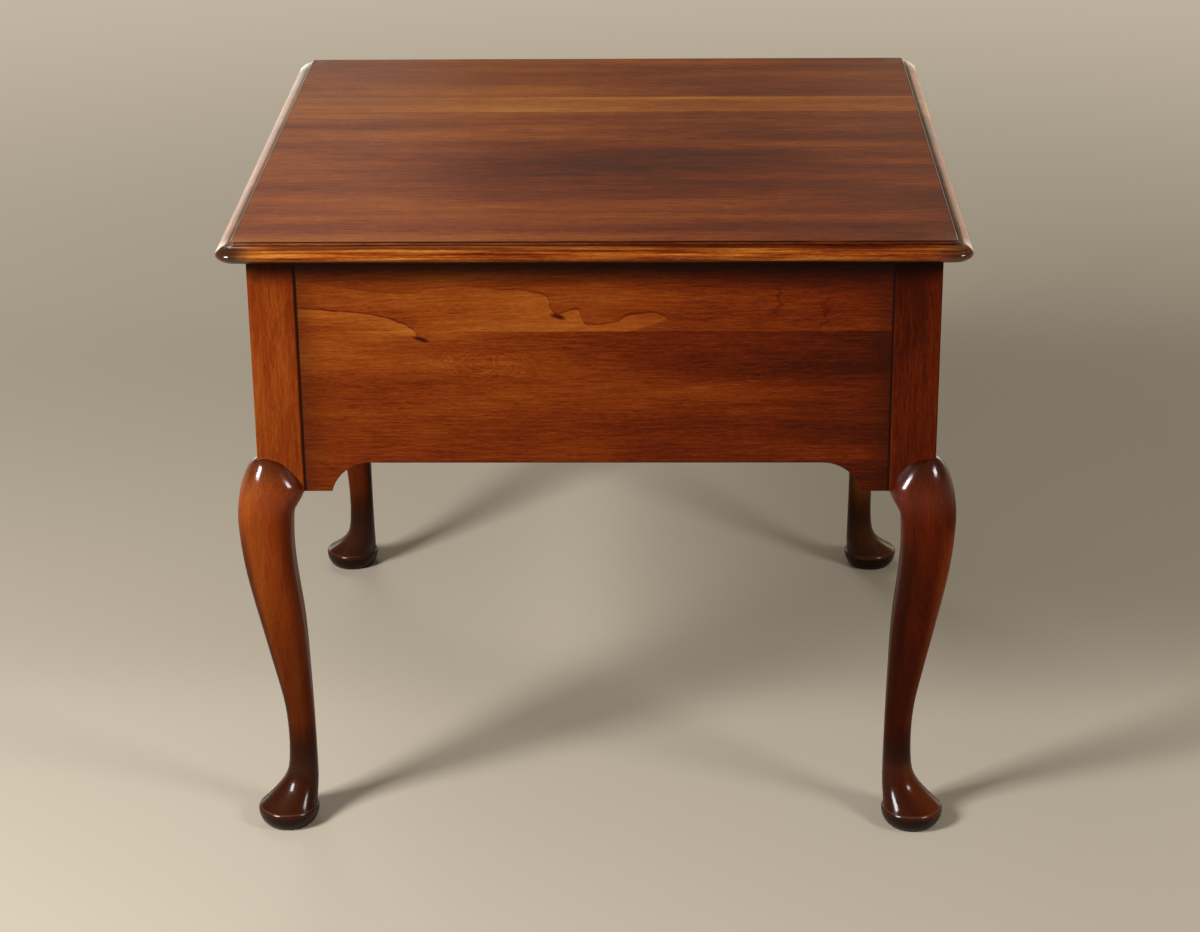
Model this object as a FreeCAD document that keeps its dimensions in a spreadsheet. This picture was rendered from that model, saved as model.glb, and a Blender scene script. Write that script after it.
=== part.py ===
"""Square side table with a moulded top, cabriole legs on pad feet and one drawer, in millimetres.

The origin is on the floor under the middle of the table and +Z is up. The drawer opens towards +Y,
so the plain back faces -Y. Left is +X and right is -X, as for a person who faces the drawer.
"""
import FreeCAD, Part
import math
import operator
import os
from types import SimpleNamespace

import Sketcher

# The top
TOP_SIZES = {
    "top_width": 690,
    "top_depth": 690,
    "table_height": 610,
    "top_thickness": 19,
    "top_overhang": 26,
    "top_corner_radius": 18,
    "step_inset": 14.3,
    "step_drop": 3.2,
    "step_flat": 1.2,
    "step_arris": 1.2,
    "nose_height": 7.2,
    "nose_radius": 4,
}

# The legs, each sawn from one square blank
LEG_SIZES = {
    "post_width": 43,
    "post_ease": 1.5,
    "crown_rise": 35,
    "knee_drop": 16.5,
    "knee_reach": 20.5,
    "knee_width": 54,
    "ankle_height": 88,
    "ankle_width": 26.4,
    "ankle_set_in": 11.9,
    "toe_reach": 20.2,
    "foot_diameter": 60.2,
    "foot_base_diameter": 47,
    "foot_height": 18.6,
    "foot_rim": 3.4,
    "foot_rim_set_in": 1.6,
}

# The aprons and the two rails of the drawer opening
APRON_SIZES = {
    "apron_thickness": 20,
    "apron_setback": 1.5,
    "apron_height": 203.5,
    "apron_ease": 0.8,
    "bracket_drop": 29,
    "bracket_flat": 26.5,
    "bracket_radius": 38,
    "tenon_thickness": 8,
    "tenon_end_gap": 3.5,
    "tenon_shoulder": 20,
    "bottom_rail_height": 25,
    "bottom_rail_shoulder": 6,
    "top_rail_thickness": 20,
    "top_rail_depth": 50,
    "tail_length": 18,
    "tail_neck": 20,
    "tail_flare": 3,
    "tail_thickness": 14,
}

# The inner strips and blocks
INNER_SIZES = {
    "runner_thickness": 20,
    "runner_shelf": 21,
    "guide_height": 20,
    "kicker_shelf": 21,
    "corner_block_side": 50,
    "corner_block_height": 40,
    "stop_length": 30,
    "stop_height": 20,
    "stop_gap": 0.4,
    "screw_diameter": 4.2,
    "screw_head_diameter": 8.4,
    "screw_head_height": 2.6,
    "screw_point": 5,
    "screw_length": 32,
    "screw_gap": 0.1,
    "plug_hole_diameter": 10,
    "plug_hole_depth": 22,
    "block_screw_length": 40,
    "bottom_screw_length": 22,
    "cut_overrun": 2,
}

# The drawer
DRAWER_SIZES = {
    "drawer_side_gap": 1.5,
    "drawer_top_gap": 2.5,
    "drawer_rest_gap": 0.3,
    "drawer_front_thickness": 22,
    "lip_gap": 0.4,
    "lip_thickness": 6,
    "lip_overlap": 9.5,
    "lip_round": 4.5,
    "drawer_back_room": 111,
    "drawer_side_thickness": 12,
    "drawer_side_drop": 16,
    "drawer_back_thickness": 12,
    "drawer_back_drop": 6,
    "drawer_bottom_thickness": 6,
    "drawer_bottom_rise": 10,
    "drawer_groove": 6,
    "dovetail_length": 12,
    "dovetail_flare": 2,
}

# The two bail pulls
PULL_SIZES = {
    "pull_spread": 300,
    "pull_bore": 76,
    "pull_projection": 10.5,
    "pull_head_diameter": 10,
    "pull_neck_diameter": 5.5,
    "stud_diameter": 4,
    "stud_gap": 0.1,
    "stud_end": 5.5,
    "nut_diameter": 9,
    "nut_thickness": 3,
    "rosette_diameter": 19,
    "rosette_thickness": 2,
    "rosette_rim": 0.8,
    "rosette_bead": 1.6,
    "rosette_bead_radius": 1,
    "rosette_cove_radius": 10,
    "bail_diameter": 5.4,
    "bail_drop": 29,
    "bail_shoulder_radius": 7,
    "bail_corner_radius": 14,
    "bail_grip_length": 20,
    "bail_grip_step": 0.5,
    "bail_grip_radius": 90,
    "bail_head_gap": 1.2,
    "bail_pin_diameter": 3.4,
    "bail_pin_gap": 0.08,
    "bail_pin_length": 8,
}

ALL_SIZES = {**TOP_SIZES, **LEG_SIZES, **APRON_SIZES, **INNER_SIZES, **DRAWER_SIZES, **PULL_SIZES}

# Stations of the leg. Each row runs from the first named station (0) to the next one (1): the share
# of the rise, of the change in reach and of the change in width, then the corner radius as a share
# of half the width.
FOOT_TO_ANKLE_SHARES = (
    (0.06, 0.18, 0.19, 0.96),
    (0.18, 0.49, 0.48, 0.95),
    (0.31, 0.75, 0.73, 0.93),
    (0.45, 0.90, 0.88, 0.92),
    (0.62, 0.965, 0.95, 0.90),
)
ANKLE_TO_KNEE_SHARES = (
    (0.13, 0.05, 0.04, 0.75),
    (0.28, 0.23, 0.22, 0.65),
    (0.55, 0.61, 0.58, 0.60),
    (0.82, 0.93, 0.77, 0.60),
    (0.93, 0.99, 0.86, 0.60),
)
# The crown runs from the knee (0) out into the post at its top (1): the share of the rise, of the
# knee's reach and of the post's width, then the corner radius as before.
CROWN_SHARES = (
    (0.17, 0.966, 0.905, 0.70),
    (0.32, 0.917, 0.985, 0.75),
    (0.465, 0.83, 0.975, 0.80),
    (0.64, 0.67, 0.84, 0.85),
    (0.83, 0.405, 0.653, 0.90),
    (0.92, 0.21, 0.493, 0.90),
    (1.00, -0.025, 0.267, 0.90),
)
FOOT_CORNER_SHARE = 0.97
ANKLE_CORNER_SHARE = 0.85
KNEE_CORNER_SHARE = 0.65

# Each dovetail's middle, and half its width at the neck, as shares of the drawer side's height.
DOVETAIL_MIDDLE_SHARES = (0.14, 0.38, 0.62, 0.86)
DOVETAIL_HALF_NECK_SHARE = 0.07

# Screws along a strip, as shares of half the room between the posts, and under the drawer's back.
TOP_SCREW_SHARES = (-0.8, 0, 0.8)
RAIL_SCREW_SHARES = (-0.5, 0.5)
FRONT_SCREW_SHARE = 0.5
BOTTOM_SCREW_SHARES = (-0.6, 0, 0.6)

# Half of a quarter turn moves a point on an arc by this share of its radius along each axis.
DIAGONAL_SHARE = math.sqrt(0.5)

# Two places count as one within this share of their distance from the middle.
SAME_PLACE_SHARE = 1e-6

doc = FreeCAD.newDocument("side_table")
sheet = doc.addObject("Spreadsheet::Sheet", "sizes")
for row, (alias, value) in enumerate(ALL_SIZES.items(), 1):
    sheet.set(f"A{row}", alias)
    sheet.set(f"B{row}", str(value))
    sheet.setAlias(f"B{row}", alias)
doc.recompute()


class Length:
    """A size from the sheet, or a sum of such sizes: its expression and its present value."""

    def __init__(self, text, value):
        self.text = text
        self.value = value

    def __add__(self, other):
        return combined(self, "+", other)

    def __radd__(self, other):
        return combined(other, "+", self)

    def __sub__(self, other):
        return combined(self, "-", other)

    def __rsub__(self, other):
        return combined(other, "-", self)

    def __mul__(self, other):
        return combined(self, "*", other)

    def __rmul__(self, other):
        return combined(other, "*", self)

    def __truediv__(self, other):
        return combined(self, "/", other)

    def __neg__(self):
        return combined(0, "-", self)


ARITHMETIC = {"+": operator.add, "-": operator.sub, "*": operator.mul, "/": operator.truediv}


def as_length(thing):
    return thing if isinstance(thing, Length) else Length(str(thing), thing)


def combined(first, sign, second):
    first = as_length(first)
    second = as_length(second)
    return Length(f"({first.text} {sign} {second.text})", ARITHMETIC[sign](first.value, second.value))


def root(square):
    return Length(f"sqrt({square.text})", math.sqrt(square.value))


size = SimpleNamespace(**{name: Length(f"sizes.{name}", value) for name, value in ALL_SIZES.items()})

# Places that several pieces share, measured from the middle of the table and from the floor
post_out_x = size.top_width / 2 - size.top_overhang
post_out_y = size.top_depth / 2 - size.top_overhang
post_in_x = post_out_x - size.post_width
post_in_y = post_out_y - size.post_width
apron_out_x = post_out_x - size.apron_setback
apron_out_y = post_out_y - size.apron_setback
apron_in_x = apron_out_x - size.apron_thickness
apron_in_y = apron_out_y - size.apron_thickness
under_top = size.table_height - size.top_thickness
apron_bottom = under_top - size.apron_height
bracket_bottom = apron_bottom - size.bracket_drop
opening_bottom = apron_bottom + size.bottom_rail_height
opening_top = under_top - size.top_rail_thickness
knee_height = bracket_bottom - size.knee_drop
crown_top = bracket_bottom + size.crown_rise
cheek = (size.apron_thickness - size.tenon_thickness) / 2
tenon_length = size.post_width - size.apron_setback - size.apron_thickness + cheek - size.tenon_end_gap

X_AXIS = FreeCAD.Vector(1, 0, 0)
Y_AXIS = FreeCAD.Vector(0, 1, 0)
Z_AXIS = FreeCAD.Vector(0, 0, 1)
pieces = []


def node(thing, name):
    """Name a finished piece and list it for export."""
    thing.Label = name
    pieces.append(thing)
    return thing


def bind(thing, **lengths):
    for prop, length in lengths.items():
        thing.setExpression(prop, as_length(length).text)


def put(thing, x=0, y=0, z=0):
    for axis, length in zip("xyz", (x, y, z)):
        thing.setExpression(f"Placement.Base.{axis}", as_length(length).text)


def block(name, x, y, z):
    """A box between pairs of places along each axis."""
    box = doc.addObject("Part::Box", name)
    bind(box, Length=x[1] - x[0], Width=y[1] - y[0], Height=z[1] - z[0])
    put(box, x[0], y[0], z[0])
    return box


def cut(name, base, *tools):
    result = doc.addObject("Part::Cut", name)
    result.Base = base
    result.Tool = tools[0] if len(tools) == 1 else gathered(f"{name}_tools", *tools)
    return result


def fused(name, *things):
    result = doc.addObject("Part::MultiFuse", name)
    result.Shapes = list(things)
    return result


def gathered(name, *things):
    result = doc.addObject("Part::Compound", name)
    result.Links = list(things)
    return result


def mirrored(name, source, normal, x=0):
    """The source reflected in the plane across the normal, through the middle or through a place x."""
    result = doc.addObject("Part::Mirroring", name)
    result.Source = source
    result.Normal = normal
    result.setExpression("Base.x", as_length(x).text)
    return result


def sketch_on(body, name, role, lift=0, right=0, up=0):
    """A sketch on one of the body's own planes, lifted along the plane's normal and shifted in it."""
    sketch = body.newObject("Sketcher::SketchObject", name)
    plane = next(feature for feature in body.Origin.OriginFeatures if feature.Role == role)
    sketch.AttachmentSupport = [(plane, "")]
    sketch.MapMode = "FlatFace"
    for axis, length in zip("xyz", (right, up, lift)):
        sketch.setExpression(f"AttachmentOffset.Base.{axis}", as_length(length).text)
    return sketch


def hold(sketch, curve, end, place):
    """Fix one end of a sketch curve at a place given by two lengths from the sketch's origin."""
    for kind, axis, length in (("DistanceX", -2, place[0]), ("DistanceY", -1, place[1])):
        length = as_length(length)
        if length.value == 0:
            sketch.addConstraint(Sketcher.Constraint("PointOnObject", curve, end, axis))
        elif length.value > 0:
            rule = Sketcher.Constraint(kind, -1, 1, curve, end, length.value)
            sketch.setExpression(f"Constraints[{sketch.addConstraint(rule)}]", length.text)
        else:
            rule = Sketcher.Constraint(kind, curve, end, -1, 1, -length.value)
            sketch.setExpression(f"Constraints[{sketch.addConstraint(rule)}]", (-length).text)


def arc_between(start, stop, radius):
    """A counter-clockwise arc. A positive radius turns left from start to stop, a negative one right."""
    if radius < 0:
        return arc_between(stop, start, -radius)
    half = (stop - start) * 0.5
    middle = start + half
    rise = math.sqrt(max(radius ** 2 - half.Length ** 2, 0))
    centre = middle + FreeCAD.Vector(-half.y, half.x, 0).normalize() * rise
    begin = math.atan2(start.y - centre.y, start.x - centre.x)
    end = math.atan2(stop.y - centre.y, stop.x - centre.x)
    if end < begin:
        end += 2 * math.pi
    return Part.ArcOfCircle(Part.Circle(centre, Z_AXIS, radius), begin, end)


def draw(sketch, corners, radii=None, closed=True):
    """Join the corners, by a line or, where a span has a radius, by an arc. Every corner is held."""
    radii = radii or {}
    spots = [FreeCAD.Vector(as_length(u).value, as_length(v).value, 0) for u, v in corners]
    last = len(corners) if closed else len(corners) - 1
    joints = []
    for span in range(last):
        start, stop = spots[span], spots[(span + 1) % len(corners)]
        radius = as_length(radii.get(span, 0))
        if radius.value:
            curve = sketch.addGeometry(arc_between(start, stop, radius.value), False)
            rule = Sketcher.Constraint("Radius", curve, abs(radius.value))
            text = radius.text if radius.value > 0 else (-radius).text
            sketch.setExpression(f"Constraints[{sketch.addConstraint(rule)}]", text)
        else:
            curve = sketch.addGeometry(Part.LineSegment(start, stop), False)
        joints.append((curve, 1, 2) if radius.value >= 0 else (curve, 2, 1))
    for span, (curve, begin, end) in enumerate(joints):
        hold(sketch, curve, begin, corners[span])
        if span + 1 < last or closed:
            following = joints[(span + 1) % last]
            sketch.addConstraint(Sketcher.Constraint("Coincident", curve, end, following[0], following[1]))
        else:
            hold(sketch, curve, end, corners[span + 1])


def draw_rounded(sketch, x, y, radius):
    """A rectangle with rounded corners."""
    corners = [
        (x[0] + radius, y[0]), (x[1] - radius, y[0]), (x[1], y[0] + radius), (x[1], y[1] - radius),
        (x[1] - radius, y[1]), (x[0] + radius, y[1]), (x[0], y[1] - radius), (x[0], y[0] + radius),
    ]
    draw(sketch, corners, {1: radius, 3: radius, 5: radius, 7: radius})


def draw_circle(sketch, radius):
    """A circle about the sketch's origin."""
    curve = sketch.addGeometry(Part.Circle(FreeCAD.Vector(), Z_AXIS, radius.value), False)
    sketch.addConstraint(Sketcher.Constraint("Coincident", curve, 3, -1, 1))
    rule = sketch.addConstraint(Sketcher.Constraint("Radius", curve, radius.value))
    sketch.setExpression(f"Constraints[{rule}]", radius.text)


def pad(body, name, sketch, length, back=False):
    feature = body.newObject("PartDesign::Pad", name)
    feature.Profile = sketch
    feature.Reversed = back
    bind(feature, Length=length)
    return feature


def revolved(body, name, sketch, axis="V_Axis"):
    """Turn the sketch about its own upright axis, or about another of its axes."""
    feature = body.newObject("PartDesign::Revolution", name)
    feature.Profile = sketch
    feature.ReferenceAxis = (sketch, [axis])
    return feature


def all_edges(thing):
    return [f"Edge{number}" for number in range(1, len(thing.Shape.Edges) + 1)]


def swept(body, kind, name, profile, route):
    doc.recompute()
    feature = body.newObject(kind, name)
    feature.Profile = profile
    feature.Spine = (route, all_edges(route))
    return feature


def edges_where(base, wanted):
    """The names of the edges of the base for which wanted(edge) is true."""
    doc.recompute()
    return [f"Edge{number}" for number, edge in enumerate(base.Shape.Edges, 1) if wanted(edge)]


def rounded(body, name, base, radius, wanted):
    edges = edges_where(base, wanted)
    feature = body.newObject("PartDesign::Fillet", name)
    feature.Base = (base, edges)
    bind(feature, Radius=radius)
    return feature


def chamfered(body, name, base, width, wanted):
    edges = edges_where(base, wanted)
    feature = body.newObject("PartDesign::Chamfer", name)
    feature.Base = (base, edges)
    bind(feature, Size=width)
    return feature


def lies_at(edge, axis, place):
    """True where the whole edge lies at one place along an axis."""
    low = getattr(edge.BoundBox, f"{axis}Min")
    high = getattr(edge.BoundBox, f"{axis}Max")
    return all(math.isclose(end, place.value, rel_tol=SAME_PLACE_SHARE) for end in (low, high))


# Aprons and bottom rail: boards with a bracket at each end, and a tenon beyond it
def shaped_board(name, role, near, span, top, shoulders):
    """A board from the place near along its plane's normal, between posts at either end of the span."""
    body = doc.addObject("PartDesign::Body", name)
    outline = sketch_on(body, f"{name}_outline", role, lift=near)
    rest = size.bracket_radius - size.bracket_drop
    arc_start = span - size.bracket_flat
    arc_stop = arc_start - root(size.bracket_radius * size.bracket_radius - rest * rest)
    right_half = [(arc_stop, apron_bottom), (arc_start, bracket_bottom)]
    right_half += [(span, bracket_bottom), (span, top)]
    left_half = [(-u, v) for u, v in reversed(right_half)]
    draw(outline, right_half + left_half, {0: -size.bracket_radius, 6: -size.bracket_radius})
    board = pad(body, f"{name}_board", outline, size.apron_thickness)
    across = {"XZ_Plane": "Y", "YZ_Plane": "X"}[role]
    faces = (near, near + size.apron_thickness)
    if role == "XZ_Plane":
        faces = tuple(-face for face in faces)

    def is_lower_arris(edge):
        on_face = any(lies_at(edge, across, face) for face in faces)
        return on_face and edge.BoundBox.ZMax < apron_bottom.value + size.cut_overrun.value

    chamfered(body, f"{name}_ease", board, size.apron_ease, is_lower_arris)
    tenons = sketch_on(body, f"{name}_tenon_outline", role, lift=near + cheek)
    low = bracket_bottom + shoulders
    high = top - shoulders
    for sign in (1, -1):
        inner = sign * span
        outer = sign * (span + tenon_length)
        draw(tenons, [(inner, low), (outer, low), (outer, high), (inner, high)])
    pad(body, f"{name}_tenons", tenons, size.tenon_thickness)
    return body


back_apron = shaped_board("back_apron", "XZ_Plane", apron_in_y, post_in_x, under_top, size.tenon_shoulder)
side_apron = shaped_board("side_apron", "YZ_Plane", apron_in_x, post_in_y, under_top, size.tenon_shoulder)
front_bottom_rail = shaped_board(
    "front_bottom_rail", "XZ_Plane", -apron_out_y, post_in_x, opening_bottom, size.bottom_rail_shoulder
)
node(back_apron, "back_apron")
node(front_bottom_rail, "front_bottom_rail")

# Top rail: a flat rail over the drawer, let into the tops of the front posts by a dovetail at each end
top_rail_body = doc.addObject("PartDesign::Body", "top_rail_body")
rail_plan = sketch_on(top_rail_body, "top_rail_plan", "XY_Plane", lift=opening_top)
rail_back = apron_out_y - size.top_rail_depth
draw(rail_plan, [
    (-post_in_x, rail_back), (post_in_x, rail_back), (post_in_x, apron_out_y), (-post_in_x, apron_out_y),
])
pad(top_rail_body, "top_rail_flat", rail_plan, size.top_rail_thickness)
tail_bottom = under_top - size.tail_thickness
tail_plan = sketch_on(top_rail_body, "top_rail_tail_plan", "XY_Plane", lift=tail_bottom)
tail_middle = (post_in_y + apron_out_y) / 2
for side in (1, -1):
    neck = side * post_in_x
    end = side * (post_in_x + size.tail_length)
    half_neck = size.tail_neck / 2
    half_end = half_neck + size.tail_flare
    draw(tail_plan, [
        (neck, tail_middle - half_neck), (end, tail_middle - half_end),
        (end, tail_middle + half_end), (neck, tail_middle + half_neck),
    ])
pad(top_rail_body, "top_rail_tails", tail_plan, size.tail_thickness)


# Screws: a countersunk head, a shank and a point, along +Z from the head
def screw(name, length, spare=None):
    """One screw, or with a spare the hole that it needs."""
    spare = spare or as_length(0)
    head = doc.addObject("Part::Cone", f"{name}_head")
    bind(
        head, Radius1=size.screw_head_diameter / 2 + spare, Radius2=size.screw_diameter / 2 + spare,
        Height=size.screw_head_height,
    )
    shank = doc.addObject("Part::Cylinder", f"{name}_shank")
    bind(shank, Radius=size.screw_diameter / 2 + spare, Height=length - size.screw_point)
    point = doc.addObject("Part::Cone", f"{name}_point")
    bind(point, Radius1=size.screw_diameter / 2 + spare, Radius2=spare, Height=size.screw_point + spare)
    put(point, z=length - size.screw_point)
    return fused(name, head, shank, point)


def aimed(thing, rotation, x, y, z):
    thing.Placement = FreeCAD.Placement(FreeCAD.Vector(), rotation)
    put(thing, x, y, z)
    return thing


UPRIGHT = FreeCAD.Rotation()
TO_LEFT = FreeCAD.Rotation(Z_AXIS, X_AXIS)
TO_BACK_LEFT = FreeCAD.Rotation(Z_AXIS, X_AXIS - Y_AXIS)


def screw_row(name, length, rotation, places):
    """Screws on the left half of the table, and the holes for them."""
    made = [aimed(screw(f"{name}_{number}", length), rotation, *at) for number, at in enumerate(places)]
    holes = [
        aimed(screw(f"{name}_hole_{number}", length, size.screw_gap), rotation, *at)
        for number, at in enumerate(places)
    ]
    return made, holes


def both_sides(name, things):
    """The things of the left half, and their reflections on the right."""
    reflections = [mirrored(f"{name}_right_{number}", one, X_AXIS) for number, one in enumerate(things)]
    return list(things) + reflections


kicker_in_x = post_in_x - size.kicker_shelf
runner_in_x = post_in_x - size.runner_shelf
kicker_middle_x = (kicker_in_x + apron_in_x) / 2
rail_middle_y = (rail_back + apron_out_y) / 2

top_places = [(kicker_middle_x, share * post_in_y, opening_top) for share in TOP_SCREW_SHARES]
top_places.append((FRONT_SCREW_SHARE * post_in_x, rail_middle_y, opening_top))
top_made, top_holes = screw_row("top_screw", size.screw_length, UPRIGHT, top_places)
node(gathered("top_screws", *both_sides("top_screw", top_made)), "top_screws")
top_holes_both = gathered("top_screw_holes", *both_sides("top_screw_hole", top_holes))

kicker_level = opening_top + size.top_rail_thickness / 2
runner_level = opening_bottom - size.runner_thickness / 2
rail_places = [
    (inner + size.plug_hole_depth, share * post_in_y, level)
    for inner, level in ((kicker_in_x, kicker_level), (runner_in_x, runner_level))
    for share in RAIL_SCREW_SHARES
]
rail_made, rail_holes = screw_row("rail_screw", size.screw_length, TO_LEFT, rail_places)
node(gathered("rail_screws", *both_sides("rail_screw", rail_made)), "rail_screws")
plug_holes = []
for number, (head_x, at_y, at_z) in enumerate(rail_places):
    hole = doc.addObject("Part::Cylinder", f"plug_hole_{number}")
    bind(hole, Radius=size.plug_hole_diameter / 2, Height=size.plug_hole_depth + size.cut_overrun)
    plug_holes.append(aimed(hole, TO_LEFT, head_x - size.plug_hole_depth - size.cut_overrun, at_y, at_z))
rail_holes_left = gathered("rail_screw_holes", *rail_holes, *plug_holes)

block_top = opening_top
block_bottom = block_top - size.corner_block_height
block_face_x = (apron_in_x + post_in_x - size.corner_block_side) / 2
block_face_y = -(apron_in_y + post_in_y - size.corner_block_side) / 2
block_places = [(block_face_x, block_face_y, (block_top + block_bottom) / 2)]
block_made, block_holes = screw_row(
    "corner_block_screw", size.block_screw_length, TO_BACK_LEFT, block_places
)
node(gathered("corner_block_screws", *both_sides("corner_block_screw", block_made)), "corner_block_screws")

node(cut("front_top_rail", top_rail_body, top_holes_both), "front_top_rail")

# Top: a slab moulded all round with a small step, a thumb, a round nose and a rounded underside, each
# curve running smoothly into the next
top_body = doc.addObject("PartDesign::Body", "top_body")
half_x = size.top_width / 2
half_y = size.top_depth / 2
slab_plan = sketch_on(top_body, "slab_plan", "XY_Plane", lift=under_top)
draw_rounded(slab_plan, (-half_x, half_x), (-half_y, half_y), size.top_corner_radius)
pad(top_body, "slab", slab_plan, size.top_thickness)
edge_route = sketch_on(top_body, "edge_route", "XY_Plane", lift=under_top)
near_x = half_x - size.top_corner_radius
near_y = half_y - size.top_corner_radius
draw(
    edge_route,
    [
        (half_x, 0), (half_x, near_y), (near_x, half_y), (-near_x, half_y), (-half_x, near_y),
        (-half_x, -near_y), (-near_x, -half_y), (near_x, -half_y), (half_x, -near_y),
    ],
    {number: size.top_corner_radius for number in (1, 3, 5, 7)},
)
moulding = sketch_on(top_body, "moulding", "XZ_Plane")
step_x = half_x - size.step_inset
step_z = size.table_height - size.step_drop
nose_z = under_top + size.nose_height
nose_half = DIAGONAL_SHARE * size.nose_radius
nose_x = half_x - size.nose_radius + nose_half
under_radius = (size.nose_height - nose_half) / (1 - DIAGONAL_SHARE)
under_x = nose_x - DIAGONAL_SHARE * under_radius
thumb_run = nose_x - step_x - size.step_flat
thumb_fall = step_z - nose_z - nose_half
thumb_square = thumb_run * thumb_run + thumb_fall * thumb_fall
thumb_radius = DIAGONAL_SHARE * thumb_square / (thumb_run - thumb_fall)
draw(
    moulding,
    [
        (step_x, size.table_height + size.cut_overrun),
        (step_x, step_z),
        (step_x + size.step_flat, step_z),
        (nose_x, nose_z + nose_half),
        (nose_x, nose_z - nose_half),
        (under_x, under_top),
        (under_x, under_top - size.cut_overrun),
        (half_x + size.cut_overrun, under_top - size.cut_overrun),
        (half_x + size.cut_overrun, size.table_height + size.cut_overrun),
    ],
    {2: -thumb_radius, 3: -size.nose_radius, 4: -under_radius},
)
moulded = swept(top_body, "PartDesign::SubtractivePipe", "moulded_edge", moulding, edge_route)
rounded(
    top_body, "eased_step", moulded, size.step_arris, lambda edge: lies_at(edge, "Z", size.table_height)
)
node(cut("table_top", top_body, top_holes_both), "table_top")

# Legs: the post, the cabriole below it and the turned pad foot are one piece of wood
leg_body = doc.addObject("PartDesign::Body", "leg_body")
post_plan = sketch_on(leg_body, "post_plan", "XY_Plane", lift=bracket_bottom)
draw_rounded(post_plan, (post_in_x, post_out_x), (post_in_y, post_out_y), size.post_ease)
pad(leg_body, "post", post_plan, under_top - bracket_bottom)


def leg_section(number, height, reach, width, corner_share):
    """A square of the leg with rounded corners, reach beyond the post's outer faces."""
    section = sketch_on(leg_body, f"leg_section_{number}", "XY_Plane", lift=height)
    x = (post_out_x + reach - width, post_out_x + reach)
    y = (post_out_y + reach - width, post_out_y + reach)
    draw_rounded(section, x, y, corner_share * width / 2)
    return section


foot_radius = size.foot_diameter / 2
rim_radius = foot_radius - size.foot_rim_set_in
foot = (size.foot_height, size.toe_reach - size.foot_rim_set_in, rim_radius + rim_radius)
ankle = (size.ankle_height, -size.ankle_set_in, size.ankle_width)
knee = (knee_height, size.knee_reach, size.knee_width)


def between(lower, upper, shares):
    """Stations between two named ones."""
    rows = []
    for rise_share, reach_share, width_share, corner_share in shares:
        parts = zip(lower, upper, (rise_share, reach_share, width_share))
        rows.append((*(low + share * (high - low) for low, high, share in parts), corner_share))
    return rows


stations = [(*foot, FOOT_CORNER_SHARE)]
stations += between(foot, ankle, FOOT_TO_ANKLE_SHARES)
stations.append((*ankle, ANKLE_CORNER_SHARE))
stations += between(ankle, knee, ANKLE_TO_KNEE_SHARES)
stations.append((*knee, KNEE_CORNER_SHARE))
for rise_share, reach_share, depth_share, corner_share in CROWN_SHARES:
    reach = reach_share * size.knee_reach
    level = knee_height + rise_share * (crown_top - knee_height)
    stations.append((level, reach, reach + depth_share * size.post_width, corner_share))
sections = [leg_section(number, *station) for number, station in enumerate(stations)]
cabriole = leg_body.newObject("PartDesign::AdditiveLoft", "cabriole")
cabriole.Profile = sections[0]
cabriole.Sections = sections[1:]

foot_inset = foot_radius - size.toe_reach
foot_half = sketch_on(
    leg_body, "foot_half", "XZ_Plane", lift=foot_inset - post_out_y, right=post_out_x - foot_inset
)
base_radius = size.foot_base_diameter / 2
widest_height = size.foot_height - size.foot_rim


def upright_arc(width, height):
    """The radius of an arc that spans a width and a height and is upright at one end."""
    return (width * width + height * height) / width / 2


draw(
    foot_half,
    [
        (0, 0), (base_radius, 0), (foot_radius, widest_height), (rim_radius, size.foot_height),
        (0, size.foot_height),
    ],
    {
        1: upright_arc(foot_radius - base_radius, widest_height),
        2: upright_arc(size.foot_rim_set_in, size.foot_rim),
    },
)
revolved(leg_body, "pad_foot", foot_half)

back_leg_body = mirrored("back_leg_body", leg_body, Y_AXIS)
front_left_leg = cut("front_left_leg", leg_body, side_apron, front_bottom_rail, top_rail_body)
back_left_leg = cut("back_left_leg", back_leg_body, side_apron, back_apron, *block_holes)
for place, left_leg in (("front", front_left_leg), ("back", back_left_leg)):
    node(left_leg, f"{place}_left_leg")
    node(mirrored(f"{place}_right_leg", left_leg, X_AXIS), f"{place}_right_leg")


# Strips and blocks inside the frame, the left ones made and the right ones reflected
def strip(name, plan, bottom, thickness):
    """A flat piece cut to a plan."""
    body = doc.addObject("PartDesign::Body", name)
    sketch = sketch_on(body, f"{name}_plan", "XY_Plane", lift=bottom)
    draw(sketch, plan)
    pad(body, f"{name}_pad", sketch, thickness)
    return body


def pair(name, left_piece):
    """A left piece and its reflection as two pieces."""
    node(left_piece, f"left_{name}")
    node(mirrored(f"right_{name}", left_piece, X_AXIS), f"right_{name}")


runner_plan = [
    (runner_in_x, -apron_in_y), (post_in_x, -apron_in_y), (post_in_x, -post_in_y),
    (apron_in_x, -post_in_y), (apron_in_x, post_in_y),
    (post_in_x, post_in_y), (post_in_x, apron_in_y), (runner_in_x, apron_in_y),
]
runner = strip("runner_blank", runner_plan, opening_bottom - size.runner_thickness, size.runner_thickness)
pair("runner", cut("left_runner", runner, rail_holes_left))

guide_levels = (opening_bottom, opening_bottom + size.guide_height)
pair("guide", block("left_guide", (post_in_x, apron_in_x), (-post_in_y, post_in_y), guide_levels))

kicker_plan = [
    (kicker_in_x, -apron_in_y), (post_in_x, -apron_in_y), (post_in_x, -post_in_y),
    (apron_in_x, -post_in_y), (apron_in_x, rail_back), (kicker_in_x, rail_back),
]
kicker = strip("kicker_blank", kicker_plan, opening_top, size.top_rail_thickness)
pair("kicker", cut("left_kicker", kicker, rail_holes_left, *top_holes))

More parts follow.
